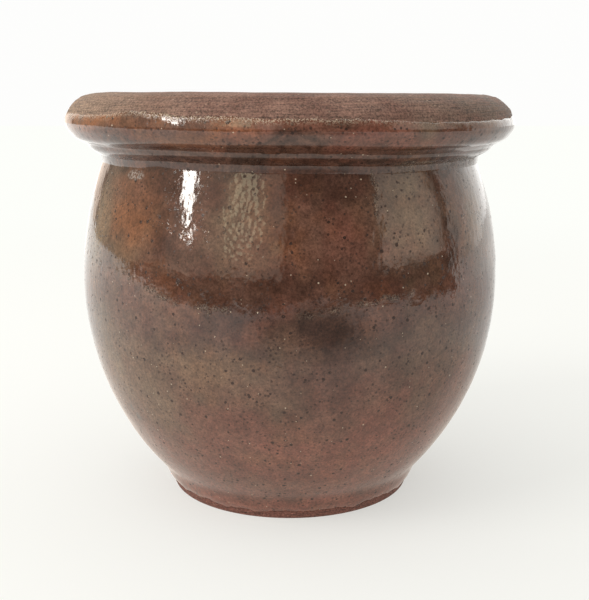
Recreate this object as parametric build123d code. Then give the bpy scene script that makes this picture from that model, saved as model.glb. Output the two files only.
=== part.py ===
from build123d import *

import math
import os

# Butter crock: a wheel-thrown stoneware pot with a heavy rolled rim and a glossy glaze.
#
# All sizes are in millimetres. The origin is the centre of the foot on the surface that the
# crock stands on, and +Z is the crock's axis, pointing up. Every solid is a half section,
# drawn as (radius, height), turned once round that axis.

# Driving dimensions of the fired clay. The glaze coats add to them.
HEIGHT = 140.0
FOOT_RADIUS = 42.9
FOOT_EDGE_ROUND = 0.8
FOOT_RING_WIDTH = 9.0
FOOT_RECESS = 1.2
BAND_RADIUS = 46.8
BAND_HEIGHT = 9.0
BELLY_RADIUS = 72.6
BELLY_HEIGHT = 75.0
NECK_RADIUS = 64.1
NECK_HEIGHT = 118.3
WALL = 6.5
FLOOR_HEIGHT = 9.0
FLOOR_CORNER_ROUND = 9.0
THROAT_RADIUS = 58.4

# The rolled rim, from the neck up: a bead of clay in the corner, a ridge under the roll, a
# shallow slope, a round nose and a flat top. Corners are (radius, height).
BEAD_TOP = (65.0, 119.9)
RIDGE_FOOT = (69.2, 120.9)
RIDGE_ROUND = 0.7
RIDGE_TOP_RADIUS = 70.0
RIM_RADIUS = 76.4
RIM_SLOPE = 18.0
RIM_UNDER_ROUND = 5.0
RIM_NOSE_HEIGHT = 129.0
RIM_TOP_ROUND = 10.5
RIM_INNER_ROUND = 4.0

# The glaze coats. The rim's top and the foot's lowest edge are wiped bare before firing, so
# the outside coat ends on the curve a little above the rim's widest line.
GLAZE = 0.4
GLAZE_BOTTOM = 2.5
GLAZE_TOP_OUTSIDE = 133.0
GLAZE_TOP_INSIDE = 134.0


def closed(*edges):
    """The flat section inside a loop of edges."""
    return make_face(Wire(edges))


def turned(section):
    """The solid that a half section sweeps in one full turn about the axis."""
    return revolve(Plane.XZ * section, Axis.Z, 360)


def box_section(inner_radius, outer_radius, bottom, top):
    """A rectangle between two radii and two heights."""
    size = (outer_radius - inner_radius, top - bottom)
    return Pos(inner_radius, bottom) * Rectangle(*size, align=(Align.MIN, Align.MIN))


def corner_at(shape, radius, height):
    """The corner of a shape that lies nearest to a given point."""
    return shape.vertices().sort_by_distance((radius, height))[0]


def wall_outside():
    """The foot's sloping band, the belly and the shoulder, from the foot up to the neck."""
    band_top = (BAND_RADIUS, BAND_HEIGHT)
    widest = (BELLY_RADIUS, BELLY_HEIGHT)
    band = Line((FOOT_RADIUS, 0), band_top)
    belly = TangentArc(widest, band_top, tangent=(0, -1))
    shoulder = TangentArc(widest, (NECK_RADIUS, NECK_HEIGHT), tangent=(0, 1))
    return band, belly, shoulder


def wall_inside():
    """The floor and the wall, one thickness in, up to the neck, with a rounded corner."""
    belly_arc = wall_outside()[1].radius - WALL
    widest = (BELLY_RADIUS - WALL, BELLY_HEIGHT)
    drop = BELLY_HEIGHT - FLOOR_HEIGHT
    floor_edge = widest[0] - belly_arc + math.sqrt(belly_arc**2 - drop**2)
    floor = Line((0, FLOOR_HEIGHT), (floor_edge, FLOOR_HEIGHT))
    belly = TangentArc(widest, (floor_edge, FLOOR_HEIGHT), tangent=(0, -1))
    shoulder = TangentArc(widest, (THROAT_RADIUS, NECK_HEIGHT), tangent=(0, 1))
    whole = Wire((floor, belly, shoulder))
    corner = corner_at(whole, floor_edge, FLOOR_HEIGHT)
    return whole.fillet_2d(FLOOR_CORNER_ROUND, [corner]).edges()


def rim_outside():
    """The rim from the neck up to its widest point: bead, ridge, slope, nose and a land."""
    slope = math.radians(RIM_SLOPE)
    slope_top_radius = RIM_RADIUS - RIM_UNDER_ROUND * (1 - math.sin(slope))
    slope_top = (slope_top_radius, RIM_NOSE_HEIGHT - RIM_UNDER_ROUND * math.cos(slope))
    ridge_top_height = slope_top[1] - (slope_top_radius - RIDGE_TOP_RADIUS) * math.tan(slope)
    ridge_top = (RIDGE_TOP_RADIUS, ridge_top_height)
    under = Polyline((NECK_RADIUS, NECK_HEIGHT), BEAD_TOP, RIDGE_FOOT, ridge_top, slope_top)
    under = under.fillet_2d(RIDGE_ROUND, [corner_at(under, *RIDGE_FOOT)])
    nose_start = (math.cos(slope), math.sin(slope))
    nose = TangentArc(slope_top, (RIM_RADIUS, RIM_NOSE_HEIGHT), tangent=nose_start)
    land = Line((RIM_RADIUS, RIM_NOSE_HEIGHT), (RIM_RADIUS, HEIGHT - RIM_TOP_ROUND))
    return *under.edges(), nose, land


def rim_top():
    """The rim's top from its widest point, over the flat, to the top of the throat."""
    flat_start = (RIM_RADIUS - RIM_TOP_ROUND, HEIGHT)
    flat_end = (THROAT_RADIUS + RIM_INNER_ROUND, HEIGHT)
    throat_top = (THROAT_RADIUS, HEIGHT - RIM_INNER_ROUND)
    outer = TangentArc((RIM_RADIUS, HEIGHT - RIM_TOP_ROUND), flat_start, tangent=(0, 1))
    inner = TangentArc(flat_end, throat_top, tangent=(-1, 0))
    throat = Line(throat_top, (THROAT_RADIUS, NECK_HEIGHT))
    return outer, Line(flat_start, flat_end), inner, throat


def body_section():
    """The half section of the thrown pot below the rim, with its foot ring."""
    ring_inside = FOOT_RADIUS - FOOT_RING_WIDTH
    underside = Polyline(
        (0, FLOOR_HEIGHT),
        (0, FOOT_RECESS),
        (ring_inside - FOOT_RECESS, FOOT_RECESS),
        (ring_inside, 0),
        (FOOT_RADIUS, 0),
    )
    joint = Line((NECK_RADIUS, NECK_HEIGHT), (THROAT_RADIUS, NECK_HEIGHT))
    section = closed(*underside.edges(), *wall_outside(), joint, *wall_inside())
    return fillet(corner_at(section, FOOT_RADIUS, 0), FOOT_EDGE_ROUND)


def rim_section():
    """The half section of the thick collar that makes the mouth."""
    joint = Line((THROAT_RADIUS, NECK_HEIGHT), (NECK_RADIUS, NECK_HEIGHT))
    return closed(joint, *rim_outside(), *rim_top())


def cavity_section(top):
    """The half section of the open inside, from the floor up to a height in the throat."""
    throat = Line((THROAT_RADIUS, NECK_HEIGHT), (THROAT_RADIUS, top))
    lid_and_axis = Polyline((THROAT_RADIUS, top), (0, top), (0, FLOOR_HEIGHT))
    return closed(*wall_inside(), throat, *lid_and_axis.edges())


def outside_coat_section():
    """The half section of the even coat on the outside, cut level at both ends."""
    filled = body_section() + rim_section() + cavity_section(GLAZE_TOP_OUTSIDE)
    coat = offset(filled, GLAZE) - filled
    return coat & box_section(FOOT_RADIUS, HEIGHT, GLAZE_BOTTOM, GLAZE_TOP_OUTSIDE)


def inside_coat_section():
    """The half section of the even lining: the part of the cavity close to the clay."""
    clay = body_section() + rim_section()
    return offset(clay, GLAZE) & cavity_section(GLAZE_TOP_INSIDE)


def crock_body():
    """The thrown clay pot below the rim."""
    return turned(body_section())


def rolled_rim():
    """The thick clay collar that sits on the neck."""
    return turned(rim_section())


def outside_glaze():
    """The glossy coat from just above the foot's edge to just above the rim's widest line."""
    return turned(outside_coat_section())


def inside_glaze():
    """The lining from the middle of the floor up into the throat."""
    return turned(inside_coat_section())


os.makedirs("parts", exist_ok=True)
for node in (crock_body, rolled_rim, outside_glaze, inside_glaze):
    export_step(node(), f"parts/{node.__name__}.step")
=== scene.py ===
"""The looks of a hand-thrown butter crock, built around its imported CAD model.

Lengths in this script are millimetres until a mesh is made, and then metres. Heights are
above the surface that the crock stands on. Azimuth 0 faces the camera and +90 is the right.
"""

import math

import bpy
import numpy as np
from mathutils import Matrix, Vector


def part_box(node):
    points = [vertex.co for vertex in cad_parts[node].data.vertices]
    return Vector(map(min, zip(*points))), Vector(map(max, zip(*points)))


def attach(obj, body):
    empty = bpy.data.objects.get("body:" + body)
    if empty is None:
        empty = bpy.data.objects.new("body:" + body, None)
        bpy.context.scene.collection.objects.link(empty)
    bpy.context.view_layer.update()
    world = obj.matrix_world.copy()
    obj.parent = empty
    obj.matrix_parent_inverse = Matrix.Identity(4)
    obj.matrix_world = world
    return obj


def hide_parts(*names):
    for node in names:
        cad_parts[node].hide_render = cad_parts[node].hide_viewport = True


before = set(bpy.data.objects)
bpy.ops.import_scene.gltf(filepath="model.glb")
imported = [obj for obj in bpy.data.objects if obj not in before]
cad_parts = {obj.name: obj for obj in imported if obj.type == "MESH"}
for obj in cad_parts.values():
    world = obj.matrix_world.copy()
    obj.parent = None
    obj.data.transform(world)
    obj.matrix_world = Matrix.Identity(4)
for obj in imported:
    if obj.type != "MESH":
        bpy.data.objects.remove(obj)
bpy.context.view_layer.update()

MM = 0.001

# Sizes that the CAD model gives, from the boxes round its pieces.
BODY_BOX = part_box("crock_body")
RIM_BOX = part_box("rolled_rim")
OUTSIDE_GLAZE_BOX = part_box("outside_glaze")
INSIDE_GLAZE_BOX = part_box("inside_glaze")
NECK_HEIGHT = RIM_BOX[0].z / MM
HEIGHT = RIM_BOX[1].z / MM
RIM_RADIUS = RIM_BOX[1].x / MM
BELLY_RADIUS = BODY_BOX[1].x / MM
GLAZE = (OUTSIDE_GLAZE_BOX[1].x - RIM_BOX[1].x) / MM
GLAZE_BOTTOM = OUTSIDE_GLAZE_BOX[0].z / MM
GLAZE_TOP_INSIDE = INSIDE_GLAZE_BOX[1].z / MM
FLOOR_HEIGHT = INSIDE_GLAZE_BOX[0].z / MM

# The rest of the section, as the CAD model draws it. Only BEAD_TOP and RIDGE_FOOT, the bead and
# the groove under the rim, are up to 1 mm away from it, which makes both a little deeper.
FOOT_RADIUS = 42.9
FOOT_RING_WIDTH = 9.0
FOOT_RECESS = 1.2
BAND_RADIUS = 46.8
BAND_HEIGHT = 9.0
BELLY_HEIGHT = 75.0
NECK_RADIUS = 64.1
THROAT_RADIUS = 58.4
WALL = 6.5
FLOOR_CORNER_ROUND = 9.0
BEAD_TOP = (64.6, 118.9)
RIDGE_FOOT = (69.2, 121.8)
RIDGE_TOP_RADIUS = 70.0
RIM_SLOPE = math.radians(18.0)
RIM_UNDER_ROUND = 5.0
RIM_NOSE_HEIGHT = 129.0
RIM_TOP_ROUND = 10.5
RIM_INNER_ROUND = 4.0

# Mesh fineness: columns round the crock, shared by every piece so that the layers nest.
COLUMNS = 600
SAMPLE_STEP = 0.1

# The height of the line that the sponge left when it wiped the glaze off the rim's top.
WIPE_HEIGHT = 132.9

# How the drawn rim departs from the section: its shoulder swells, the curve under the shoulder
# is drawn in, its top is worn down, and the whole rim tilts.
RIM_SWELL = 0.5
RIM_DRAWN_IN = 0.4
RIM_WEAR = 0.3
RIM_TILT = math.radians(0.26)

# How far a coat's back face lies inside the clay, and how far its ends are tucked in.
COAT_SUNK = 0.05
COAT_TUCK = 0.2

# Where each mesh has its columns. Azimuths are degrees in tables and radians in grids.
AZIMUTH = np.linspace(0, 2 * math.pi, COLUMNS, endpoint=False)


# -------------------------------- the section's outline


def line(start, end):
    """Points on a straight run of the section."""
    start, end = np.array(start, float), np.array(end, float)
    count = max(2, int(np.linalg.norm(end - start) / SAMPLE_STEP) + 1)
    return start + (end - start) * np.linspace(0, 1, count)[:, None]


def arc(centre, radius, start, end):
    """Points on an arc of the section, from one angle to another in radians."""
    count = max(2, int(abs(end - start) * radius / SAMPLE_STEP) + 1)
    angle = np.linspace(start, end, count)
    return np.array(centre, float) + radius * np.stack((np.cos(angle), np.sin(angle)), 1)


def bulge(widest, end):
    """Points on the arc that leaves the widest point upright and ends at a given point."""
    inwards, rise = widest[0] - end[0], end[1] - widest[1]
    radius = (inwards**2 + rise**2) / (2 * inwards)
    return arc((widest[0] - radius, widest[1]), radius, 0, math.asin(rise / radius))


def joined(*runs):
    """Runs of points as one run, with the doubled points at their ends left out."""
    points = np.concatenate(runs)
    step = np.linalg.norm(np.diff(points, axis=0), axis=1)
    return points[np.concatenate(([True], step > SAMPLE_STEP / 100))]


def outside_path():
    """The clay's outside from the foot's edge to the neck."""
    widest = (BELLY_RADIUS, BELLY_HEIGHT)
    band_top = (BAND_RADIUS, BAND_HEIGHT)
    return joined(
        line((FOOT_RADIUS, 0), band_top),
        bulge(widest, band_top)[::-1],
        bulge(widest, (NECK_RADIUS, NECK_HEIGHT)),
    )


def rim_outside_path():
    """The clay's outside from the neck over the bead, the ridge and the nose to the land."""
    turn = np.array((RIM_RADIUS - RIM_UNDER_ROUND, RIM_NOSE_HEIGHT))
    slope_top = turn + RIM_UNDER_ROUND * np.array((math.sin(RIM_SLOPE), -math.cos(RIM_SLOPE)))
    ridge_top_height = slope_top[1] - (slope_top[0] - RIDGE_TOP_RADIUS) * math.tan(RIM_SLOPE)
    ridge_top = (RIDGE_TOP_RADIUS, ridge_top_height)
    return joined(
        line((NECK_RADIUS, NECK_HEIGHT), BEAD_TOP),
        line(BEAD_TOP, RIDGE_FOOT),
        line(RIDGE_FOOT, ridge_top),
        line(ridge_top, slope_top),
        arc(turn, RIM_UNDER_ROUND, RIM_SLOPE - math.pi / 2, 0),
        line((RIM_RADIUS, RIM_NOSE_HEIGHT), (RIM_RADIUS, HEIGHT - RIM_TOP_ROUND)),
    )


def rim_shoulder_path(end):
    """The rounded outer edge of the rim's top, from the land up to an angle in radians."""
    return arc((RIM_RADIUS - RIM_TOP_ROUND, HEIGHT - RIM_TOP_ROUND), RIM_TOP_ROUND, 0, end)


def rim_top_path():
    """The clay's surface from the land over the flat top and down into the throat."""
    inner_centre = (THROAT_RADIUS + RIM_INNER_ROUND, HEIGHT - RIM_INNER_ROUND)
    return joined(
        rim_shoulder_path(math.pi / 2),
        line((RIM_RADIUS - RIM_TOP_ROUND, HEIGHT), (inner_centre[0], HEIGHT)),
        arc(inner_centre, RIM_INNER_ROUND, math.pi / 2, math.pi),
        line((THROAT_RADIUS, inner_centre[1]), (THROAT_RADIUS, NECK_HEIGHT)),
    )


def inside_path():
    """The clay's inside from the neck down the wall and over the floor to the axis."""
    widest = (BELLY_RADIUS - WALL, BELLY_HEIGHT)
    drop = BELLY_HEIGHT - BAND_HEIGHT
    inwards = BELLY_RADIUS - BAND_RADIUS
    radius = (inwards**2 + drop**2) / (2 * inwards) - WALL
    centre = np.array((widest[0] - radius, BELLY_HEIGHT))
    corner_height = FLOOR_HEIGHT + FLOOR_CORNER_ROUND
    reach = radius - FLOOR_CORNER_ROUND
    corner_radius = centre[0] + math.sqrt(reach**2 - (BELLY_HEIGHT - corner_height) ** 2)
    corner = np.array((corner_radius, corner_height))
    touch = math.atan2(corner_height - BELLY_HEIGHT, corner_radius - centre[0])
    return joined(
        bulge(widest, (THROAT_RADIUS, NECK_HEIGHT))[::-1],
        arc(centre, radius, 0, touch),
        arc(corner, FLOOR_CORNER_ROUND, touch, -math.pi / 2),
        line((corner_radius, FLOOR_HEIGHT), (0, FLOOR_HEIGHT)),
    )


def foot_path():
    """The clay's underside from the axis over the recess and the foot ring to its edge."""
    ring_inside = FOOT_RADIUS - FOOT_RING_WIDTH
    return joined(
        line((0, FOOT_RECESS), (ring_inside - FOOT_RECESS, FOOT_RECESS)),
        line((ring_inside - FOOT_RECESS, FOOT_RECESS), (ring_inside, 0)),
        line((ring_inside, 0), (FOOT_RADIUS, 0)),
    )


def even(points):
    """A run of points as one at an even spacing."""
    along = np.concatenate(([0], np.cumsum(np.linalg.norm(np.diff(points, axis=0), axis=1))))
    new = np.linspace(0, along[-1], max(2, round(along[-1] / SAMPLE_STEP) + 1))
    return np.stack([np.interp(new, along, points[:, k]) for k in (0, 1)], 1)


def softened(points, reach):
    """A run with its corners rounded, as a wet sponge or a coat of glaze rounds them."""
    points = even(points)
    count = int(3 * reach / SAMPLE_STEP)
    weight = np.exp(-0.5 * (np.arange(-count, count + 1) * SAMPLE_STEP / reach) ** 2)
    weight /= weight.sum()
    ends = (2 * points[0] - points[count:0:-1], points, 2 * points[-1] - points[-2 : -count - 2 : -1])
    padded = np.concatenate(ends)
    return np.stack([np.convolve(padded[:, k], weight, "valid") for k in (0, 1)], 1)


class Run:
    """A softened run of the section that can be read at any length along it."""

    def __init__(self, points, reach):
        self.points = even(softened(points, reach))
        step = np.linalg.norm(np.diff(self.points, axis=0), axis=1)
        self.along = np.concatenate(([0], np.cumsum(step)))
        self.length = self.along[-1]
        slope = np.gradient(self.points, axis=0)
        slope /= np.linalg.norm(slope, axis=1)[:, None]
        self.normals = np.stack((slope[:, 1], -slope[:, 0]), 1)

    def at(self, along):
        """Points (radius, height) and outward normals at these lengths."""
        point = np.stack([np.interp(along, self.along, self.points[:, k]) for k in (0, 1)], -1)
        normal = np.stack([np.interp(along, self.along, self.normals[:, k]) for k in (0, 1)], -1)
        return point, normal / np.linalg.norm(normal, axis=-1)[..., None]

    def length_at_height(self, height):
        """The length along the run where it first rises past a height."""
        return self.along[np.argmax(self.points[:, 1] >= height)]


# -------------------------------- noise and shared shape


def lattice(cells, seed):
    """A steady random number from -1 to 1 for each whole-number cell."""
    x, y, z = (cells[..., k].astype(np.uint32) for k in range(3))
    mixed = x * np.uint32(374761393) + y * np.uint32(668265263) + z * np.uint32(2147483647)
    mixed = mixed + np.uint32(seed * 144665 + 17)
    mixed = (mixed ^ (mixed >> np.uint32(13))) * np.uint32(1274126177)
    mixed = (mixed ^ (mixed >> np.uint32(16))) * np.uint32(2246822519)
    mixed = mixed ^ (mixed >> np.uint32(15))
    return mixed.astype(np.float64) / 2147483648.0 - 1.0


def noise(points, size, seed):
    """Smooth noise from about -1 to 1 with lumps of a given size, in millimetres."""
    scaled = points / size + 512.0
    low = np.floor(scaled)
    part = scaled - low
    part = part**3 * (part * (part * 6 - 15) + 10)
    low = low.astype(np.int64)
    total = 0.0
    for dx in (0, 1):
        for dy in (0, 1):
            for dz in (0, 1):
                corner = lattice(low + np.array((dx, dy, dz)), seed)
                share = np.abs(1 - dx - part[..., 0]) * np.abs(1 - dy - part[..., 1])
                total = total + corner * share * np.abs(1 - dz - part[..., 2])
    return total * 1.6


def smooth_step(value, low, high):
    """0 below low, 1 above high, and a smooth rise between."""
    part = np.clip((value - low) / (high - low), 0, 1)
    return part * part * (3 - 2 * part)


def turn_from(azimuth, centre):
    """Degrees from a centre azimuth to each azimuth (in radians), from -180 to 180."""
    return (np.degrees(azimuth) - centre + 180) % 360 - 180


def patch(azimuth, height, at, size):
    """A soft round patch, 1 at its middle: at and size are (azimuth in degrees, height)."""
    turn = turn_from(azimuth, at[0])
    return np.exp(-((turn / size[0]) ** 2) - ((height - at[1]) / size[1]) ** 2)


def round_axis(radius, height):
    """x, y, z of (radius, height) grids, with each column at its own azimuth."""
    height = height + 0 * radius
    return np.stack((radius * np.sin(AZIMUTH), -radius * np.cos(AZIMUTH), height), -1)


def placed(run, along, lift):
    """Grids of radius and height at lengths (rows, columns) on a run, lifted off it."""
    point, normal = run.at(along)
    radius = point[..., 0] + lift * normal[..., 0]
    height = point[..., 1] + lift * normal[..., 1]
    return radius, height


def shaped(radius, height):
    """Turns (radius, height) grids into x, y, z with the thrown pot's slight unevenness."""
    points = round_axis(radius, height)
    fade = smooth_step(radius, 10, 40)
    swell = 0.12 * np.sin(2 * AZIMUTH + 0.6) * smooth_step(height, 5, 70)
    lumps = 0.16 * noise(points, 34, 3) + 0.08 * noise(points, 15, 4)
    radius = radius + fade * (swell + lumps * smooth_step(height, 2, 25))
    raised = smooth_step(height, 100, 125)
    height = height - raised * radius * np.sin(AZIMUTH) * math.tan(RIM_TILT)
    height = height + raised * 0.18 * noise(points, 30, 5)
    return round_axis(radius, height)


# -------------------------------- meshes


def grid_faces(rows, ring):
    """Quads over a (rows, columns) grid, closed round the axis; a ring closes the rows too."""
    index = np.arange(rows * COLUMNS).reshape(rows, COLUMNS)
    lower = index if ring else index[:-1]
    upper = np.roll(index, -1, 0) if ring else index[1:]
    corners = (lower, np.roll(lower, -1, 1), np.roll(upper, -1, 1), upper)
    return np.stack(corners, -1).reshape(-1, 4)


def piece(name, points, ring, attributes):
    """A closed mesh object from a grid of points. Without ring, both end rows are poles."""
    rows = points.shape[0]
    if ring:
        vertices = points.reshape(-1, 3)
        faces = grid_faces(rows, True).tolist()
        values = {key: grid.reshape(-1) for key, grid in attributes.items()}
    else:
        poles = np.stack((points[0].mean(0), points[-1].mean(0)))
        inner = points[1:-1]
        vertices = np.concatenate((inner.reshape(-1, 3), poles))
        faces = grid_faces(rows - 2, False).tolist()
        first, last = (rows - 2) * COLUMNS, (rows - 2) * COLUMNS + 1
        top = (rows - 3) * COLUMNS
        for i in range(COLUMNS):
            after = (i + 1) % COLUMNS
            faces.append((first, after, i))
            faces.append((last, top + i, top + after))
        values = {
            key: np.concatenate((grid[1:-1].reshape(-1), (grid[0].mean(), grid[-1].mean())))
            for key, grid in attributes.items()
        }
    mesh = bpy.data.meshes.new(name)
    mesh.from_pydata((vertices * MM).tolist(), [], faces)
    for key, value in values.items():
        layer = mesh.attributes.new(key, "FLOAT", "POINT")
        layer.data.foreach_set("value", np.ascontiguousarray(value, np.float32))
    mesh.polygons.foreach_set("use_smooth", np.ones(len(mesh.polygons), bool))
    mesh.update()
    result = bpy.data.objects.new(name, mesh)
    bpy.context.scene.collection.objects.link(result)
    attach(result, "root")
    return result


# -------------------------------- the four pieces

WALL_PATH = softened(outside_path(), 1.6)
OUTSIDE = Run(joined(WALL_PATH, rim_outside_path(), rim_shoulder_path(0.9)), 0.25)


def glaze_line_outside():
    """For each column, the lengths on the outside run where the glaze starts and ends."""
    circle = round_axis(72, 0 * AZIMUTH)
    bottom = OUTSIDE.length_at_height(GLAZE_BOTTOM)
    ragged = 0.55 * noise(circle, 9, 11) + 0.25 * noise(circle, 2.5, 12)
    top = OUTSIDE.length_at_height(WIPE_HEIGHT)
    crest = 1.5 * np.exp(-((turn_from(AZIMUTH, -36) / 9) ** 2))
    dip = 1.2 * np.exp(-((turn_from(AZIMUTH, 44) / 27) ** 2))
    wiped = 0.15 * noise(circle, 22, 13) + 0.16 * noise(circle, 5, 14) + 0.12 * noise(circle, 2, 15)
    return bottom + ragged, top + crest - dip + wiped


def fullness(height):
    """How far the rim swells past the plain section at its shoulder, and draws in below it."""
    swell = smooth_step(height, 126.5, 129.8) * (1 - smooth_step(height, 134.0, 138.2))
    draw = smooth_step(height, 123.0, 124.5) * (1 - smooth_step(height, 126.0, 129.0))
    return RIM_SWELL * swell - RIM_DRAWN_IN * draw


def sunken_top(radius, height):
    """How far the rim's top is worn down, most of all where its rounded edge starts."""
    fall = smooth_step(radius, 60, 67) * (1 - smooth_step(radius, 67, 74))
    return RIM_WEAR * fall * smooth_step(height, 136.5, 138.5)


def coat(start, end, along):
    """The share of full thickness along the outside coat, which thins out towards both ends."""
    foot = np.clip((along - start) / 3.0, 0, 1)
    rim = np.clip((end - along) / 2.6, 0, 1)
    foot_share = (0.2 + 0.8 * np.sin(foot * math.pi / 2)) * (foot > 0)
    return foot_share * (0.15 + 0.85 * np.sin(rim * math.pi / 2)) * (rim > 0)


def outside_relief(flat, height):
    """How far throwing rings, slow waves and a fine peel lift the outside coat's face."""
    drift = 1.6 * noise(flat, 40, 21)
    on_belly = smooth_step(height, 6, 18) * (1 - smooth_step(height, 108, 116))
    rings = 0.010 * np.sin((height + drift) * 2 * math.pi / 7.5)
    rings = rings + 0.006 * noise(flat * np.array((0.08, 0.08, 1.0)), 2.2, 22)
    peel = 0.014 * noise(flat, 4.2, 23) + 0.006 * noise(flat, 2.1, 24)
    slow = 0.045 * noise(flat, 11, 25)
    return rings * on_belly + peel + slow * (0.4 + 0.6 * on_belly)


def outside_masks(points, to_end):
    """Where the outside glaze has which tone and mark. to_end is the length left to its lip."""
    masks = tones(points)
    masks["crawled_and_reflection_edge"] = near_lines(points, CRAWLS_AND_REFLECTION_EDGES)
    masks["seam_and_reflection_edge"] = near_lines(points, SEAMS_AND_REFLECTION_EDGES)
    azimuth = np.arctan2(points[..., 0], -points[..., 1])
    masks["dimpled"] = patch(azimuth, points[..., 2], *DIMPLED)
    # The lip's crust, weaker round azimuth 48; it also sets the lip's pale flecks, which are partly
    # painted glints.
    crusted = 1 - 0.7 * np.exp(-((turn_from(AZIMUTH, 48) / 36) ** 4))
    masks["lip"] = crusted * np.exp(-((to_end / 1.2) ** 2))
    return masks


def outside_glaze():
    """The glossy outside coat as a closed shell: its face, and its back just inside the clay."""
    face_rows, back_rows = 132, 32
    start, end = glaze_line_outside()
    share = np.linspace(0, 1, face_rows)
    share = share - 0.35 * np.sin(2 * math.pi * share) / (2 * math.pi)
    along = start + share[:, None] * (end - start)
    radius, height = placed(OUTSIDE, along, 0.0)
    lift = GLAZE + outside_relief(round_axis(radius, height), height)
    lift = lift * coat(start, end, along) + fullness(height)
    face = shaped(*placed(OUTSIDE, along, lift))
    back_share = np.linspace(1, 0, back_rows)[:, None]
    back_along = start + COAT_TUCK + back_share * (end - start - 2 * COAT_TUCK)
    back = shaped(*placed(OUTSIDE, back_along, -COAT_SUNK + 0 * back_along))
    points = np.concatenate((face, back))
    masks = outside_masks(points, end - np.concatenate((along, back_along)))
    return piece("outside_glaze_coat", points, True, masks)


def rolled_rim():
    """The collar's clay, bare above the glaze: faint wipe lines run round its top."""
    joint = Run(line((THROAT_RADIUS, NECK_HEIGHT), (NECK_RADIUS, NECK_HEIGHT)), 0.01)
    rows = (
        (joint, 6),
        (Run(rim_outside_path(), 0.35), 22),
        (Run(rim_top_path(), 0.3), 96),
    )
    grids = []
    for run, count in rows:
        along = np.linspace(0, run.length, count, endpoint=False)[:, None] + 0 * AZIMUTH
        radius, height = placed(run, along, 0.0)
        flat = round_axis(radius, height)
        bare = smooth_step(height, WIPE_HEIGHT - 2, WIPE_HEIGHT)
        across = np.stack((flat[..., 0] * 0.05, flat[..., 1] * 0.05, along + 40), -1)
        wiped = 0.05 * noise(across, 1.1, 31) + 0.06 * noise(across, 3.0, 32)
        outer_side = smooth_step(radius, 62, 66)
        lift = (wiped + 0.03 * noise(flat, 5, 33)) * bare + fullness(height) * outer_side
        lift = lift - sunken_top(radius, height)
        grids.append(shaped(*placed(run, along, lift)))
    points = np.concatenate(grids)
    return piece("rolled_rim_clay", points, True, tones(points))


def foot_relief(radius, height):
    """The turning tool's rings inside the foot ring, and the ring's own worn underside."""
    flat = round_axis(radius, height)
    turned = 0.06 * np.sin(radius * 2 * math.pi / 2.3 + 1.5 * noise(flat, 30, 41))
    inside_ring = 1 - smooth_step(radius, 30.5, 32.5)
    lift = (turned + 0.05 * noise(flat, 3, 42)) * inside_ring * smooth_step(radius, 1, 4)
    return lift - 0.03 * (1 + noise(flat, 4, 43)) * (1 - inside_ring)


def crock_body():
    """The thrown pot. Only its foot is bare, and the rest lies under glaze or the rim."""
    foot = Run(foot_path(), 0.25)
    outer = Run(WALL_PATH, 0.3)
    band = outer.length_at_height(GLAZE_BOTTOM + 3)
    joint = Run(line((NECK_RADIUS, NECK_HEIGHT), (THROAT_RADIUS, NECK_HEIGHT)), 0.01)
    rows = (
        (foot, np.linspace(0, 1, 70, endpoint=False)),
        (outer, np.linspace(0, band / outer.length, 14, endpoint=False)),
        (outer, np.linspace(band / outer.length, 1, 30, endpoint=False)),
        (joint, np.linspace(0, 1, 4, endpoint=False)),
        (Run(inside_path(), 0.5), np.linspace(0, 1, 50)),
    )
    grids = []
    for run, share in rows:
        along = share[:, None] * run.length + 0 * AZIMUTH
        lift = foot_relief(*placed(run, along, 0.0)) if run is foot else 0.0
        grids.append(shaped(*placed(run, along, lift)))
    points = np.concatenate(grids)
    return piece("crock_body_clay", points, False, tones(points))


def inside_glaze():
    """The lining, with the spiral that the potter's fingers left up the wall.

    Its rows run from the axis up to the lip on the face, and back to the axis behind it.
    """
    face_rows, back_rows = 116, 26
    spiral_pitch = 8.0
    throat = line((THROAT_RADIUS, GLAZE_TOP_INSIDE), (THROAT_RADIUS, NECK_HEIGHT))
    lining = Run(joined(throat, inside_path()), 0.5)
    circle = round_axis(58, 0 * AZIMUTH)
    start = 0.8 + 0.5 * noise(circle, 14, 51) + 0.2 * noise(circle, 3, 52)
    end = lining.length
    along = start + np.linspace(0, 1, face_rows)[:, None] * (end - start)
    radius, height = placed(lining, along, 0.0)
    flat = round_axis(radius, height)
    spiral = (along + AZIMUTH / (2 * math.pi) * spiral_pitch) * 2 * math.pi / spiral_pitch
    fingers = 0.16 * np.sin(spiral + 0.8 * noise(flat, 30, 53))
    fade = smooth_step(along, 8, 22) * smooth_step(radius, 6, 16)
    peel = 0.035 * noise(flat, 4.2, 54) + 0.02 * noise(flat, 2.1, 55)
    lift = GLAZE + (fingers + 0.07 * noise(flat, 12, 56)) * fade
    lift = lift + peel * smooth_step(radius, 1, 4)
    edge = np.clip((along - start) / 0.9, 0, 1)
    lift = lift * np.sqrt(1 - (1 - edge) ** 2)
    face = shaped(*placed(lining, along, lift))
    back_share = np.linspace(0, 1, back_rows)[:, None]
    back_along = start + COAT_TUCK + back_share * (end - start - COAT_TUCK)
    back = shaped(*placed(lining, back_along, -COAT_SUNK + 0 * back_along))
    points = np.concatenate((face[::-1], back))
    return piece("inside_glaze_coat", points, False, tones(points))
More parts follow.
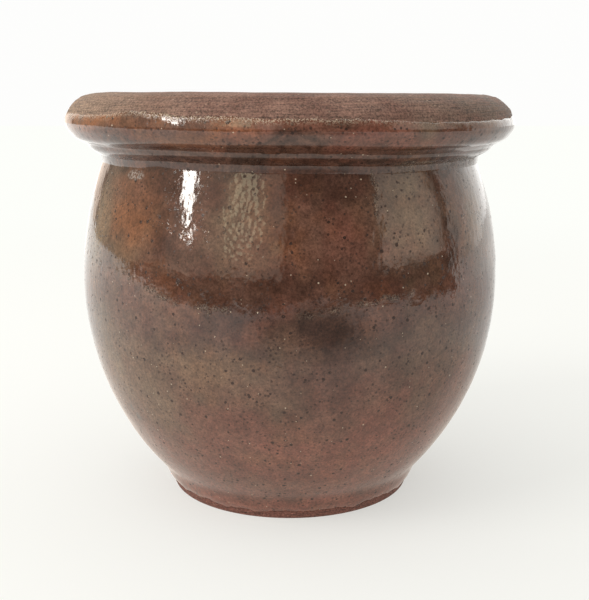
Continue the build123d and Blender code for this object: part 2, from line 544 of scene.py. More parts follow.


# Glaze colours, most as the kiln left them; the dark patches marked below are painted shade and
# painted reflection: (azimuth, height), (spread in degrees, in mm), weight.
TONES = {
    "orange": (
        ((-56, 131), (22, 3), 1.0),
        ((-24, 131), (22, 2.4), 0.5),
        ((-48, 102), (9, 12), 0.75),
        ((-20, 62), (14, 10), 0.25),
        ((-4, 106), (2.5, 10), 0.3),
        ((-34, 86), (5, 4), 0.4),
        ((0, 99), (3.5, 7), 0.35),
        ((150, 90), (30, 22), 0.5),
        ((-140, 50), (26, 16), 0.35),
    ),
    "olive": (
        ((-62, 98), (12, 20), 1.0),
        ((-48, 90), (8, 8), 0.6),
        ((-12, 104), (5, 14), 0.7),
        ((-50, 55), (26, 20), 0.7),
        ((-20, 60), (18, 12), 0.75),
        ((-6, 104), (2.5, 12), 0.4),
        ((32, 104), (10, 14), 0.7),
        ((60, 104), (10, 20), 0.7),
        ((50, 62), (20, 14), 0.4),
        ((33, 86), (8, 6), 0.5),
        ((62, 138), (34, 6), 0.8),
        ((118, 100), (18, 20), 0.6),
        ((-170, 66), (24, 16), 0.5),
    ),
    "red": (
        ((24, 26), (70, 20), 0.9),
        ((0, 4), (400, 9), 1.0),
        ((-30, 12), (60, 12), 0.7),
        ((-4, 74), (9, 5), 0.5),
        ((14, 98), (8, 16), 0.35),
        ((26, 97), (6, 5), 0.5),
        ((20, 129), (20, 4), 0.7),
        ((-8, 129), (16, 3), 0.5),
        ((170, 24), (80, 18), 0.7),
    ),
    "dark": (
        ((7, 69), (17, 8), 0.85),
        ((0, 82), (14, 5), 0.5),
        ((14, 112), (14, 6), 0.45),
        ((30, 85), (9, 5), 0.55),
        ((26, 71), (8, 6), 0.5),
        ((-22, 84), (10, 4), 0.55),
        ((-12, 80), (11, 4), 0.5),
        # Painted reflection: the next two patches draw the dark contour where the bright right wall's
        # reflection begins.
        ((46.5, 99), (2.2, 9), 0.9),
        ((44, 90), (2.2, 4), 0.8),
        ((-33, 97), (7, 9), 0.35),
        ((42, 105), (3, 12), 0.45),
        ((32, 113), (4, 3), 0.35),
        ((-30, 110), (6, 12), 0.3),
        # Painted shade: dark bands all round the groove under the rim, the rim's underside, and the
        # neck below it.
        ((0, 120.3), (400, 1.1), 0.85),
        ((0, 124.4), (400, 0.9), 0.7),
        ((0, 117.2), (60, 1.2), 0.5),
        ((-150, 105), (24, 8), 0.5),
    ),
}

# The patch where the glaze is dimpled, as the middle and the spread of a tone.
DIMPLED = ((-11.5, 103), (6, 13))

# Crawl lines, where the glaze drew back into crumbling bits, and fine dark lines where it split. Some
# of them are painted reflection edges, not marks of the glaze, as marked below.
# Corners as (azimuth, height), and a width in mm.
CRAWLS_AND_REFLECTION_EDGES = (
    (((22.5, 118), (22, 110), (21.5, 104)), 0.9),
    # Painted reflection edges: the next three lines follow the tide line, where the mirrored paper
    # ends.
    (((-70, 88), (-58, 86.5), (-45, 84), (-36, 81.3)), 0.5),
    (((-36, 81.6), (-28, 79), (-15, 77)), 0.8),
    (((2, 76.5), (14, 78), (32, 81.5)), 0.5),
    (((30, 118.6), (42, 118.6), (58, 119.2), (68, 120)), 0.9),
)
SEAMS_AND_REFLECTION_EDGES = (
    # Painted reflection edges: the next three lines draw the dark edges of the mirrored room at the
    # left and the right, and along the tide line; the last two lie in the groove under the rim.
    (((-69.0, 117), (-70, 108), (-70.6, 98), (-71.5, 93), (-69, 89)), 0.40),
    (((47, 100), (47.4, 95), (45.5, 90), (42, 86), (40, 83.5)), 0.55),
    (((-36, 81.0), (-28, 78.6), (-19, 77)), 0.45),
    (((-60, 119.6), (-50, 119.2), (-40, 118.4)), 0.40),
    (((52, 119.2), (60, 119.6), (70, 120.4), (80, 120.6)), 0.55),
)


def near_line(azimuth, height, corners, width):
    """1 on a line drawn over the pot's outside, and a soft fall to 0 past its width."""
    degree = math.radians(1) * BELLY_RADIUS
    closest = 1e9 + 0 * height
    for (turn_a, low), (turn_b, high) in zip(corners, corners[1:]):
        across, rise = (turn_b - turn_a) * degree, high - low
        x, y = turn_from(azimuth, turn_a) * degree, height - low
        share = np.clip((x * across + y * rise) / (across**2 + rise**2), 0, 1)
        closest = np.minimum(closest, np.hypot(x - share * across, y - share * rise))
    return np.exp(-((closest / width) ** 2))


def tones(points):
    """How much of each tone there is at each mesh point, from 0 to 1."""
    drifted = points + 4.0 * np.stack([noise(points, 14, 61 + k) for k in range(3)], -1)
    drifted = drifted + 1.6 * np.stack([noise(points, 4, 65 + k) for k in range(3)], -1)
    azimuth = np.arctan2(drifted[..., 0], -drifted[..., 1])
    height = drifted[..., 2]
    result = {}
    for seed, (name, patches) in enumerate(TONES.items()):
        total = 0 * height
        for at, size, weight in patches:
            total = np.maximum(total, weight * patch(azimuth, height, at, size))
        uneven = 0.08 * noise(points, 13, 71 + seed) + 0.09 * noise(points, 4, 81 + seed)
        result[name] = np.clip(total + uneven, 0, 1)
    return result


def near_lines(points, lines):
    """How near each mesh point is to any of these lines, with a wandering course: 0 to 1."""
    wander = 0.9 * noise(points, 3.5, 91)
    azimuth = np.arctan2(points[..., 0], -points[..., 1]) + wander / BELLY_RADIUS
    total = 0 * wander
    for corners, width in lines:
        total = np.maximum(total, near_line(azimuth, points[..., 2] + wander, corners, width))
    return total


# -------------------------------- nodes


class Nodes:
    """A short way to write a node tree."""

    def __init__(self, tree):
        self.tree = tree

    def add(self, kind, **settings):
        """A node with these settings."""
        made = self.tree.nodes.new(kind)
        for key, value in settings.items():
            setattr(made, key, value)
        return made

    def put(self, socket, value):
        """Links a socket, or sets a plain value on one."""
        if isinstance(value, bpy.types.NodeSocket):
            self.tree.links.new(value, socket)
        else:
            socket.default_value = value

    def put_all(self, sockets, values):
        """Links or sets the first sockets of a node, in their order."""
        for socket, value in zip(sockets, values):
            self.put(socket, value)

    def math(self, operation, *values):
        """One step of arithmetic."""
        made = self.add("ShaderNodeMath", operation=operation)
        self.put_all(made.inputs, values)
        return made.outputs[0]

    def product(self, first, *others):
        """Several numbers multiplied together."""
        for value in others:
            first = self.math("MULTIPLY", first, value)
        return first

    def largest(self, first, *others):
        """The largest of several numbers."""
        for value in others:
            first = self.math("MAXIMUM", first, value)
        return first

    def vector(self, operation, *values, scale=None):
        """One step of vector arithmetic. A length comes out as a number."""
        made = self.add("ShaderNodeVectorMath", operation=operation)
        self.put_all(made.inputs, values)
        if scale is not None:
            self.put(made.inputs["Scale"], scale)
        return made.outputs["Value" if operation == "LENGTH" else "Vector"]

    def parts(self, vector):
        """The three numbers that make up a vector."""
        made = self.add("ShaderNodeSeparateXYZ")
        self.put(made.inputs[0], vector)
        return made.outputs

    def joined(self, *values):
        """A vector made of three numbers."""
        made = self.add("ShaderNodeCombineXYZ")
        self.put_all(made.inputs, values)
        return made.outputs[0]

    def ramp(self, value, low, high, start=0.0, end=1.0):
        """A smooth change from start to end as value goes from low to high."""
        made = self.add("ShaderNodeMapRange", interpolation_type="SMOOTHSTEP")
        self.put_all(made.inputs, (value, low, high, start, end))
        return made.outputs[0]

    def band(self, value, low, high, soft):
        """1 from low to high and 0 outside, with edges this soft inside the band."""
        rise = self.ramp(value, low, low + soft)
        return self.product(rise, self.ramp(value, high - soft, high, 1.0, 0.0))

    def mix(self, share, first, second):
        """The first colour with a share of the second in it."""
        made = self.add("ShaderNodeMix", data_type="RGBA")
        self.put(made.inputs[0], share)
        for socket, value in ((made.inputs[6], first), (made.inputs[7], second)):
            self.put(socket, value if isinstance(value, bpy.types.NodeSocket) else (*value, 1))
        return made.outputs[2]

    def shade(self, colour, factor):
        """A colour made lighter or darker by a factor."""
        return self.vector("SCALE", colour, scale=factor)


class Shader(Nodes):
    """A material's nodes, with textures that are placed and sized in millimetres."""

    def __init__(self, name):
        self.material = bpy.data.materials.new(name)
        self.material.use_nodes = True
        super().__init__(self.material.node_tree)
        self.surface = self.tree.nodes["Principled BSDF"]
        place = self.add("ShaderNodeTexCoord").outputs["Object"]
        self.place = self.vector("SCALE", place, scale=1 / MM)

    def texture(self, kind, size, at=None):
        """A texture node with lumps or cells of a size in millimetres."""
        made = self.add(kind)
        self.put(made.inputs["Vector"], at or self.place)
        self.put(made.inputs["Scale"], 1 / size)
        return made

    def noise(self, size, detail=2.0, roughness=0.5, at=None):
        """Noise from 0 to 1 with lumps of a size in millimetres."""
        made = self.texture("ShaderNodeTexNoise", size, at)
        self.put(made.inputs["Detail"], detail)
        self.put(made.inputs["Roughness"], roughness)
        return made.outputs["Fac"]

    def vector_noise(self, size):
        """A random vector, about -0.5 to 0.5 each way, with lumps of a size in millimetres."""
        made = self.texture("ShaderNodeTexNoise", size)
        return self.vector("SUBTRACT", made.outputs["Color"], (0.5, 0.5, 0.5))

    def cells(self, size):
        """Scattered points: the distance in mm to the nearest, and its two random numbers."""
        made = self.texture("ShaderNodeTexVoronoi", size)
        distance = self.product(made.outputs["Distance"], size)
        numbers = self.add("ShaderNodeSeparateColor")
        self.put(numbers.inputs[0], made.outputs["Color"])
        return distance, numbers.outputs["Red"], numbers.outputs["Green"]

    def mask(self, name):
        """A mask that is stored on the mesh, or 0 where the mesh has none of that name."""
        return self.add("ShaderNodeAttribute", attribute_name=name).outputs["Fac"]

    def bump(self, height, depth, normal=None):
        """A bump of this depth in millimetres for a height from 0 to 1."""
        made = self.add("ShaderNodeBump")
        self.put(made.inputs["Strength"], 1.0)
        self.put(made.inputs["Distance"], depth * MM)
        self.put(made.inputs["Height"], height)
        if normal is not None:
            self.put(made.inputs["Normal"], normal)
        return made.outputs[0]

    def finish(self, colour, roughness, normal):
        """The material, once its surface has its colour, roughness and normal."""
        self.put(self.surface.inputs["Base Color"], colour)
        self.put(self.surface.inputs["Roughness"], roughness)
        self.put(self.surface.inputs["Normal"], normal)
        return self.material


# -------------------------------- materials

# Single marks: azimuth, height, radius in mm, and how many times taller than wide it is.
PITS = (
    (-53.5, 120.5, 0.75, 0.7),
    (-46.5, 120.4, 0.85, 0.6),
    (34.0, 32.8, 0.5, 0.6),
    (35.5, 31.4, 0.4, 0.6),
    (26.0, 99.2, 0.4, 1.0),
    (-27.5, 84.8, 0.9, 1.4),
    (-26.0, 83.0, 0.6, 0.8),
    (52.0, 102.5, 0.8, 0.4),
    (55.0, 117.5, 0.9, 1.3),
    (66.5, 120.2, 1.0, 0.8),
    (75.0, 84.5, 0.8, 2.5),
    (17.5, 80.5, 0.6, 1.0),
    (14.0, 131.0, 0.8, 1.0),
    (22.0, 128.6, 0.5, 1.0),
)
# Painted reflection: a pale patch of glare on the left shoulder, laid on as colour.
PAINTED_GLARE_SPOTS = ((-46.5, 115.0, 5.0, 0.36),)
SMEARS = (
    (-51.0, 35.0, 1.7, 0.9),
    (-53.0, 38.0, 1.2, 1.6),
)
BLISTERS = (
    (-31.0, 102.0, 0.9, 1.0),
    (-30.0, 99.5, 0.8, 1.0),
    (-20.5, 97.5, 0.9, 1.0),
    (-21.0, 100.5, 0.7, 1.0),
    (-28.0, 60.0, 1.1, 0.9),
    (-30.5, 60.5, 0.8, 0.8),
    (-2.5, 61.0, 1.0, 0.8),
    (-13.5, 48.0, 0.7, 1.0),
    (11.5, 50.5, 0.6, 1.0),
    (5.0, 39.0, 0.8, 1.0),
    (-13.5, 35.8, 0.6, 0.8),
)

# Colours of the surfaces, as the shares of red, green and blue that each gives back.
GLAZE_DARKER = (0.074, 0.030, 0.019)
GLAZE_LIGHTER = (0.118, 0.056, 0.038)
GLAZE_TONES = {
    "red": (0.196, 0.070, 0.046),
    "olive": (0.166, 0.112, 0.068),
    "orange": (0.215, 0.078, 0.030),
    "dark": (0.036, 0.017, 0.011),
}
GLAZE_IRON = (0.026, 0.007, 0.002)
GLAZE_SMEAR = (0.05, 0.055, 0.05)
# The colour of the painted glare, a pale reflection.
GLAZE_PAINTED_GLARE = (0.50, 0.48, 0.44)
# Pale clay in pinholes, and pale flecks on the crawl lines and the lip that are partly painted glints.
GLAZE_PALE = (0.54, 0.42, 0.30)
CLAY_DARKER = (0.145, 0.075, 0.055)
CLAY_LIGHTER = (0.200, 0.114, 0.085)
CLAY_OLIVE = (0.128, 0.090, 0.065)
# Painted light: a lighter clay colour blended in towards the left, the side the lamp lights.
CLAY_PAINTED_LIGHT_LEFT = (0.240, 0.166, 0.118)
CLAY_FOOT = (0.160, 0.066, 0.048)
CLAY_IRON = (0.03, 0.02, 0.016)
CLAY_PALE = (0.46, 0.34, 0.25)
PAPER = (0.88, 0.88, 0.86)


def surface_point(azimuth, height):
    """The point on the glaze at an azimuth in degrees and a height, in millimetres."""
    point, _ = OUTSIDE.at(OUTSIDE.length_at_height(height))
    radius = point[0] + GLAZE
    turn = math.radians(azimuth)
    return radius * math.sin(turn), -radius * math.cos(turn), height


def marks(shader, spots, torn_place):
    """1 inside any of the given single marks, with ragged edges."""
    total = 0.0
    for azimuth, height, radius, tallness in spots:
        away = shader.vector("SUBTRACT", torn_place, surface_point(azimuth, height))
        away = shader.vector("MULTIPLY", away, (1.0, 1.0, 1 / tallness))
        total = shader.largest(total, shader.ramp(shader.vector("LENGTH", away), radius, 0.6 * radius))
    return total


def speckles(shader, size, largest, share, ragged):
    """1 inside a speckle. share of the cells of this size have one, of up to about largest."""
    distance, number, other = shader.cells(size)
    wobble = shader.math("MULTIPLY_ADD", ragged, 0.6 * largest, distance)
    reach = shader.math("MULTIPLY_ADD", other, 0.75 * largest, 0.55 * largest)
    inside = shader.ramp(shader.math("SUBTRACT", reach, wobble), 0.0, 0.14)
    return shader.product(inside, shader.math("LESS_THAN", number, share))


def glaze_colour(shader, mottle, grain):
    """The glaze's own colour, from the tones on the mesh and two sizes of mottling."""
    cloud = shader.ramp(shader.noise(9.0, 4.0, 0.6), 0.35, 0.65)
    colour = shader.mix(cloud, GLAZE_DARKER, GLAZE_LIGHTER)
    for tone, tint in GLAZE_TONES.items():
        colour = shader.mix(shader.mask(tone), colour, tint)
    coarse = shader.ramp(mottle, 0.3, 0.7, 0.74, 1.26)
    fine = shader.ramp(grain, 0.3, 0.7, 0.72, 1.28)
    return shader.shade(colour, shader.product(coarse, fine))


def glaze_dark_marks(shader, ragged, pits):
    """Where the glaze is nearly black: iron spots, crumbling along the crawl lines, dark split lines
    and pits; along the reflection edges the crumbling and the dark lines are painted reflection.
    """
    crowd = shader.ramp(shader.noise(8.0, 2.0), 0.40, 0.58, 0.45, 1.0)
    large = speckles(shader, 2.2, 0.68, 0.52, ragged)
    small = shader.product(speckles(shader, 1.2, 0.52, 0.90, ragged), crowd, 0.8)
    crawled_and_reflection_edge = shader.ramp(shader.mask("crawled_and_reflection_edge"), 0.1, 0.5)
    # Painted reflection: along the tide line this dark crumbling stands in for the broken edge of the
    # mirrored paper.
    crumbs_and_painted_edges = shader.product(shader.ramp(shader.noise(1.2, 3.0), 0.46, 0.54), crawled_and_reflection_edge, 0.85)
    broken = shader.ramp(ragged, 0.35, 0.55, 0.35, 0.85)
    # Painted reflection: at the reflection edges these dark lines stand in for where the mirrored room
    # and paper end.
    parted_and_painted_edges = shader.product(shader.mask("seam_and_reflection_edge"), broken)
    return shader.largest(large, small, pits, crumbs_and_painted_edges, parted_and_painted_edges)


def glaze_pale_marks(shader, ragged):
    """Pale marks: pinholes where the clay shows, and flecks on the crawl lines and the lip, which are
    partly painted glints.
    """
    pinholes = speckles(shader, 1.6, 0.34, 0.17, ragged)
    elsewhere = shader.vector("ADD", shader.place, (9.0, 4.0, 7.0))
    flecks_and_painted_glints = shader.ramp(shader.noise(0.45, 1.0, at=elsewhere), 0.48, 0.56)
    edges = shader.largest(shader.product(shader.mask("crawled_and_reflection_edge"), 0.3), shader.mask("lip"))
    return shader.largest(pinholes, shader.product(flecks_and_painted_glints, edges))


def glaze_skin(shader, dents, grain):
    """The glaze's surface: slow waves, dimples like orange peel, dents and crusted edges."""
    dimple_size = 1.6
    dome = shader.math("DIVIDE", shader.cells(dimple_size)[0], dimple_size)
    dome = shader.product(dome, dome)
    faint = shader.ramp(shader.noise(9.0, 1.0), 0.45, 0.65, 0.0, 0.2)
    dimpled = shader.largest(shader.mask("dimpled"), faint)
    upright = shader.vector("MULTIPLY", shader.place, (1.0, 1.0, 0.4))
    edges = shader.largest(shader.product(shader.mask("crawled_and_reflection_edge"), 0.55), shader.mask("lip"))
    normal = shader.bump(shader.noise(1.8, 1.0, at=upright), 0.055)
    normal = shader.bump(shader.product(dome, dimpled), 0.18, normal)
    normal = shader.bump(shader.math("SUBTRACT", 1.0, dents), 0.06, normal)
    normal = shader.bump(shader.product(shader.noise(0.7, 2.0), edges), 0.22, normal)
    return shader.bump(grain, 0.010, normal)


def glaze_material(name):
    """Glossy iron glaze over speckled clay: mottled, spotted, pinholed and orange-peeled."""
    shader = Shader(name)
    mottle = shader.noise(2.4, 5.0, 0.75)
    grain = shader.noise(0.75, 3.0, 0.7)
    ragged = shader.noise(0.6, 2.0)
    torn = shader.vector("SCALE", shader.vector_noise(1.6), scale=1.3)
    torn_place = shader.vector("ADD", shader.place, torn)
    pits = marks(shader, PITS, torn_place)
    dark = glaze_dark_marks(shader, ragged, pits)
    pale = glaze_pale_marks(shader, ragged)
    patchy = shader.ramp(grain, 0.40, 0.62, 0.0, 0.5)
    # Painted reflection: the glare patch, broken up by the grain.
    painted_glare = shader.product(marks(shader, PAINTED_GLARE_SPOTS, torn_place), patchy)

    colour = glaze_colour(shader, mottle, grain)
    colour = shader.mix(shader.product(dark, 0.96), colour, GLAZE_IRON)
    colour = shader.mix(shader.product(marks(shader, SMEARS, torn_place), 0.6), colour, GLAZE_SMEAR)
    colour = shader.mix(painted_glare, colour, GLAZE_PAINTED_GLARE)
    # Pale pinholes, and flecks along the lip and the tide line that are partly painted glints.
    colour = shader.mix(shader.product(pale, 0.75), colour, GLAZE_PALE)

    dents = shader.largest(pits, pale, marks(shader, BLISTERS, torn_place))
    gloss = shader.ramp(mottle, 0.3, 0.7, 0.03, 0.075)
    rough = shader.math("MULTIPLY_ADD", dark, 0.35, gloss)
    shader.put(shader.surface.inputs["IOR"], 1.55)
    return shader.finish(colour, rough, glaze_skin(shader, dents, grain))


def wipe_streaks(shader):
    """Noise drawn out round the axis, as a sponge leaves it on the turning rim."""
    x, y, z = shader.parts(shader.place)
    radius = shader.math("SQRT", shader.math("ADD", shader.product(x, x), shader.product(y, y)))
    divisor = shader.largest(radius, 1.0)
    outwards = shader.joined(shader.math("DIVIDE", x, divisor), shader.math("DIVIDE", y, divisor), 0.0)
    across = shader.vector("SCALE", shader.joined(radius, 0.0, z), scale=2.6)
    place = shader.vector("ADD", shader.vector("SCALE", outwards, scale=9.0), across)
    return shader.noise(1.0, 3.0, 0.6, at=place)


def clay_material():
    """Bare fired clay, wiped with a sponge: matt, streaked round the rim and grainy."""
    shader = Shader("bare_clay")
    x, _, z = shader.parts(shader.place)
    streak = wipe_streaks(shader)
    grain = shader.noise(0.7, 3.0, 0.75)
    ragged = shader.noise(0.6, 2.0)
    cloud = shader.ramp(shader.noise(12.0, 4.0, 0.6), 0.35, 0.65)
    colour = shader.mix(cloud, CLAY_DARKER, CLAY_LIGHTER)
    colour = shader.mix(shader.mask("olive"), colour, CLAY_OLIVE)
    # Painted light: the clay turns lighter towards the left, where the lamp falls.
    colour = shader.mix(shader.ramp(x, -20, -75), colour, CLAY_PAINTED_LIGHT_LEFT)
    colour = shader.mix(shader.ramp(z, 7.0, 3.0), colour, CLAY_FOOT)
    streaked = shader.ramp(streak, 0.3, 0.7, 0.66, 1.34)
    grainy = shader.ramp(grain, 0.3, 0.7, -0.55, 0.55)
    colour = shader.shade(colour, shader.math("ADD", streaked, grainy))
    iron = shader.product(speckles(shader, 1.9, 0.36, 0.25, ragged), 0.75)
    colour = shader.mix(iron, colour, CLAY_IRON)
    crowd = shader.ramp(shader.noise(7.0, 2.0), 0.40, 0.62, 0.12, 0.6)
    pale = shader.product(speckles(shader, 1.2, 0.42, 0.35, ragged), crowd)
    colour = shader.mix(pale, colour, CLAY_PALE)
    normal = shader.bump(grain, 0.08, shader.bump(streak, 0.14))
    rough = shader.ramp(streak, 0.3, 0.7, 0.62, 0.80)
    shader.put(shader.surface.inputs["Specular IOR Level"], 0.3)
    return shader.finish(colour, rough, normal)


# -------------------------------- stage, light and camera

# How far off the paper stops, as the gloss shows it: in front, to the left and to the right.
# The last two are measured along a direction (x, y) of their own.
PAPER_FRONT_END = (470.0, 505.0)
PAPER_LEFT_END = (440.0, 475.0)
PAPER_LEFT_FACES = (-0.349, -0.937)
PAPER_RIGHT_END = (560.0, 600.0)
PAPER_RIGHT_FACES = (0.93, -0.37)

# Shadows that the gloss mirrors from the paper: the photographer's and the crock's own, each
# as its middle, its reach and the light that is left in it.
SHADOW_AT = (45.0, -330.0, 0.0)
SHADOW_REACH = (75.0, 205.0)
SHADOW_LIGHT = 0.3
OWN_SHADOW_AT = (85.0, 10.0, 0.0)
OWN_SHADOW_REACH = (45.0, 150.0)
OWN_SHADOW_LIGHT = 0.75

# What stands round the crock, as brightness in red, green and blue.
BACKDROP = (0.985, 0.985, 0.975)
SOFT_LIGHT = (1.0, 0.985, 0.955)
PAPER_GLOW = (0.985, 0.995, 0.955)
PAPER_NEAR = (1.0, 0.90, 0.80)
PAPER_FAR = (1.0, 0.99, 0.95)
SWEEP = (2.1, 2.1, 2.04)
LEFT_SWEEP = (1.6, 1.35, 1.15)
ROOM = (0.14, 0.115, 0.10)
LEFT_WALL = (0.62, 0.55, 0.44)
BESIDE_WINDOW = (1.0, 0.86, 0.72)
RIGHT_WALL = (1.25, 1.12, 0.98)
SIDE_PAPER = (1.05, 0.98, 0.90)
CURTAIN = (3.1, 2.8, 2.0)
WINDOW = (26.0, 25.0, 23.5)

# Where it stands, in degrees of azimuth, or of elevation where the name says RISE. An EDGE or
# END is a soft change from its first value to its second, and a LEAN is per degree up.
SWEEP_EDGE = (104, 142)
LEFT_SWEEP_EDGE = (-138, -144)
LEFT_WALL_SPAN = (-141, -66)
BESIDE_WINDOW_SPAN = (-72, -2)
CURTAIN_SPAN = (-33.5, -19.5)
CURTAIN_RISE = (8, 60)
WINDOW_MIDDLE = -50.5
WINDOW_LEAN = -0.48
WINDOW_RISE = (7, 62)
WINDOW_HALF_WIDTH = 3.9
WINDOW_TAPER_RISE = (6.0, 27.0)
RIGHT_WALL_EDGE = (43.2, 46.2)
RIGHT_WALL_LEAN = 0.36
RIGHT_WALL_END = (84, 95)
RIGHT_WALL_RISE = (2.0, 4.0)
SIDE_PAPER_EDGE = (96, 99)

# The lamp and the camera: distances in metres, angles in degrees, lens and sensor in mm.
LAMP_AZIMUTH = -60
LAMP_ELEVATION = 34
LAMP_DISTANCE = 1.5
LAMP_SIZE = (0.7, 0.9)
LAMP_POWER = 8.0
LAMP_COLOUR = (1.0, 0.98, 0.95)
CAMERA_DISTANCE = 0.357
CAMERA_DOWN = 11.72
CAMERA_TURN = -0.26
CAMERA_LENS = 60.0
CAMERA_SENSOR = 36.0


def window_pane(nodes, azimuth, elevation):
    """The bright window: a leaning strip that narrows to a point at its lower end."""
    middle = nodes.math("MULTIPLY_ADD", elevation, WINDOW_LEAN, WINDOW_MIDDLE)
    off_middle = nodes.math("ABSOLUTE", nodes.math("SUBTRACT", azimuth, middle))
    half_width = nodes.product(nodes.ramp(elevation, *WINDOW_TAPER_RISE), WINDOW_HALF_WIDTH)
    soft_from = nodes.math("SUBTRACT", half_width, 0.6)
    inside = nodes.ramp(off_middle, soft_from, half_width, 1.0, 0.0)
    return nodes.product(inside, nodes.band(elevation, *WINDOW_RISE, 2))


def mirrored_room(nodes, azimuth, elevation):
    """What the gloss mirrors in each direction, with each thing laid over the one before."""
    leaning = nodes.math("MULTIPLY_ADD", elevation, -RIGHT_WALL_LEAN, azimuth)
    wall = nodes.product(
        nodes.ramp(leaning, *RIGHT_WALL_EDGE),
        nodes.ramp(azimuth, *RIGHT_WALL_END, 1.0, 0.0),
        nodes.ramp(elevation, *RIGHT_WALL_RISE),
    )
    curtain = nodes.product(
        nodes.band(azimuth, *CURTAIN_SPAN, 2.5),
        nodes.band(elevation, *CURTAIN_RISE, 6),
    )
    room = ROOM
    for share, brightness in (
        (wall, RIGHT_WALL),
        (nodes.ramp(azimuth, *SIDE_PAPER_EDGE), SIDE_PAPER),
        (nodes.band(azimuth, *LEFT_WALL_SPAN, 8), LEFT_WALL),
        (nodes.band(azimuth, *BESIDE_WINDOW_SPAN, 4), BESIDE_WINDOW),
        (curtain, CURTAIN),
        (window_pane(nodes, azimuth, elevation), WINDOW),
        (nodes.ramp(azimuth, *SWEEP_EDGE), SWEEP),
        (nodes.ramp(azimuth, *LEFT_SWEEP_EDGE), LEFT_SWEEP),
    ):
        room = nodes.mix(share, room, brightness)
    return room


def world_light():
    """A white backdrop and soft light all round, and a room that only the gloss mirrors."""
    world = bpy.data.worlds.new("studio")
    bpy.context.scene.world = world
    world.use_nodes = True
    world.cycles.sampling_method = "NONE"
    nodes = Nodes(world.node_tree)
    nodes.tree.nodes.clear()
    x, y, z = nodes.parts(nodes.add("ShaderNodeTexCoord").outputs["Generated"])
    azimuth = nodes.math("DEGREES", nodes.math("ARCTAN2", x, nodes.product(y, -1.0)))
    elevation = nodes.math("DEGREES", nodes.math("ARCSINE", z))
    brightness = nodes.math("MULTIPLY_ADD", x, -0.32, nodes.math("MULTIPLY_ADD", y, 0.15, 0.98))
    light = nodes.shade(SOFT_LIGHT, brightness)
    rays = nodes.add("ShaderNodeLightPath").outputs
    seen = nodes.mix(rays["Is Glossy Ray"], light, mirrored_room(nodes, azimuth, elevation))
    seen = nodes.mix(rays["Is Camera Ray"], seen, BACKDROP)
    background = nodes.add("ShaderNodeBackground")
    nodes.put(background.inputs["Color"], seen)
    output = nodes.add("ShaderNodeOutputWorld")
    nodes.put(output.inputs["Surface"], background.outputs[0])


def along_direction(shader, x, y, direction):
    """How far a place (x, y) is along a direction, in millimetres."""
    return shader.math("MULTIPLY_ADD", y, direction[1], shader.product(x, direction[0]))


def mirrored_paper(shader, away):
    """What the gloss mirrors from the paper: its shadows, its tone and where it ends."""
    x, y, _ = shader.parts(shader.place)
    in_front = shader.ramp(shader.math("MULTIPLY_ADD", x, -0.09, y), 10.0, -30.0)
    to_left = along_direction(shader, x, y, PAPER_LEFT_FACES)
    to_right = along_direction(shader, x, y, PAPER_RIGHT_FACES)
    past_end = shader.largest(
        shader.ramp(shader.product(y, -1.0), *PAPER_FRONT_END),
        shader.ramp(to_left, *PAPER_LEFT_END),
        shader.product(shader.ramp(to_right, *PAPER_RIGHT_END), in_front),
    )
    from_shadow = shader.vector("LENGTH", shader.vector("SUBTRACT", shader.place, SHADOW_AT))
    from_own_shadow = shader.vector("LENGTH", shader.vector("SUBTRACT", shader.place, OWN_SHADOW_AT))
    light = shader.product(
        shader.ramp(from_shadow, *SHADOW_REACH, SHADOW_LIGHT, 1.0),
        shader.ramp(from_own_shadow, *OWN_SHADOW_REACH, OWN_SHADOW_LIGHT, 1.0),
        shader.ramp(away, 50.0, 80.0, 0.85, 1.0),
        shader.ramp(away, 300.0, 900.0, 1.0, 1.3),
        shader.ramp(x, -400.0, 300.0, 1.3, 0.95),
    )
    tone = shader.mix(shader.ramp(away, 60.0, 260.0), PAPER_NEAR, PAPER_FAR)
    return shader.mix(past_end, shader.shade(tone, light), ROOM)


def paper_material():
    """Matt white paper near the crock and a white glow further off, or in a mirror image."""
    shader = Shader("paper")
    shader.put(shader.surface.inputs["Base Color"], (*PAPER, 1))
    shader.put(shader.surface.inputs["Roughness"], 1.0)
    shader.put(shader.surface.inputs["Specular IOR Level"], 0.0)
    away = shader.vector("LENGTH", shader.place)
    glossy = shader.add("ShaderNodeLightPath").outputs["Is Glossy Ray"]
    glow = shader.add("ShaderNodeEmission")
    shader.put(glow.inputs["Color"], shader.mix(glossy, PAPER_GLOW, mirrored_paper(shader, away)))
    blend = shader.add("ShaderNodeMixShader")
    share = shader.largest(shader.ramp(away, 250.0, 900.0, 0.52, 1.0), glossy)
    shader.put_all(blend.inputs, (share, shader.surface.outputs[0], glow.outputs[0]))
    shader.put(shader.tree.nodes["Material Output"].inputs["Surface"], blend.outputs[0])
    return shader.material


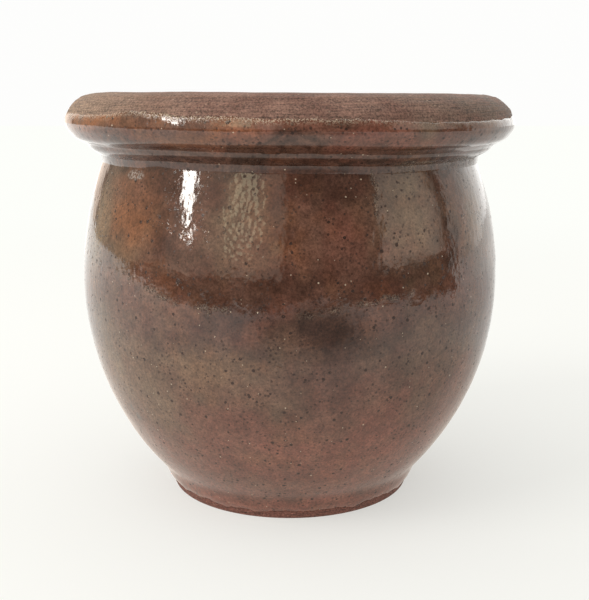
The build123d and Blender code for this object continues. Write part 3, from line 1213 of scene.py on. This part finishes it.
def stage_floor():
    """The sheet of paper that the crock stands on."""
    reach = 4.0
    corners = [(-reach, -reach, 0), (reach, -reach, 0), (reach, reach, 0), (-reach, reach, 0)]
    mesh = bpy.data.meshes.new("paper_floor")
    mesh.from_pydata(corners, [], [(0, 1, 2, 3)])
    mesh.materials.append(paper_material())
    floor = bpy.data.objects.new("paper_floor", mesh)
    bpy.context.scene.collection.objects.link(floor)


def window_lamp():
    """A soft light that faces the middle of the crock, and that the gloss does not mirror."""
    data = bpy.data.lights.new("window", "AREA")
    data.shape = "RECTANGLE"
    data.size, data.size_y = LAMP_SIZE
    data.energy = LAMP_POWER
    data.color = LAMP_COLOUR
    light = bpy.data.objects.new("window", data)
    turn, rise = math.radians(LAMP_AZIMUTH), math.radians(LAMP_ELEVATION)
    away = (math.sin(turn) * math.cos(rise), -math.cos(turn) * math.cos(rise), math.sin(rise))
    light.location = [LAMP_DISTANCE * part for part in away]
    light.location.z += HEIGHT / 2 * MM
    light.rotation_euler = (math.pi / 2 - rise, 0, turn)
    light.visible_glossy = False
    bpy.context.scene.collection.objects.link(light)


def camera():
    """The photograph's view: from the height of the rim's top, tilted down."""
    data = bpy.data.cameras.new("camera")
    data.lens = CAMERA_LENS
    data.sensor_width = CAMERA_SENSOR
    data.clip_start = 0.01
    result = bpy.data.objects.new("camera", data)
    result.location = (0, -CAMERA_DISTANCE, HEIGHT * MM)
    result.rotation_euler = (math.radians(90 - CAMERA_DOWN), 0, math.radians(CAMERA_TURN))
    bpy.context.scene.collection.objects.link(result)
    bpy.context.scene.camera = result


# -------------------------------- the scene

outside_finish = glaze_material("outside_glaze")
inside_finish = glaze_material("inside_glaze")
clay_finish = clay_material()

for make, node_name, slot_name, finish in (
    (crock_body, "crock_body", "bare_clay", clay_finish),
    (rolled_rim, "rolled_rim", "bare_clay", clay_finish),
    (outside_glaze, "outside_glaze", "outside_glaze", outside_finish),
    (inside_glaze, "inside_glaze", "inside_glaze", inside_finish),
):
    made_piece = make()
    made_piece.data.materials.append(finish)
    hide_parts(node_name)

world_light()
stage_floor()
window_lamp()
camera()
bpy.context.scene.view_settings.view_transform = "Standard"
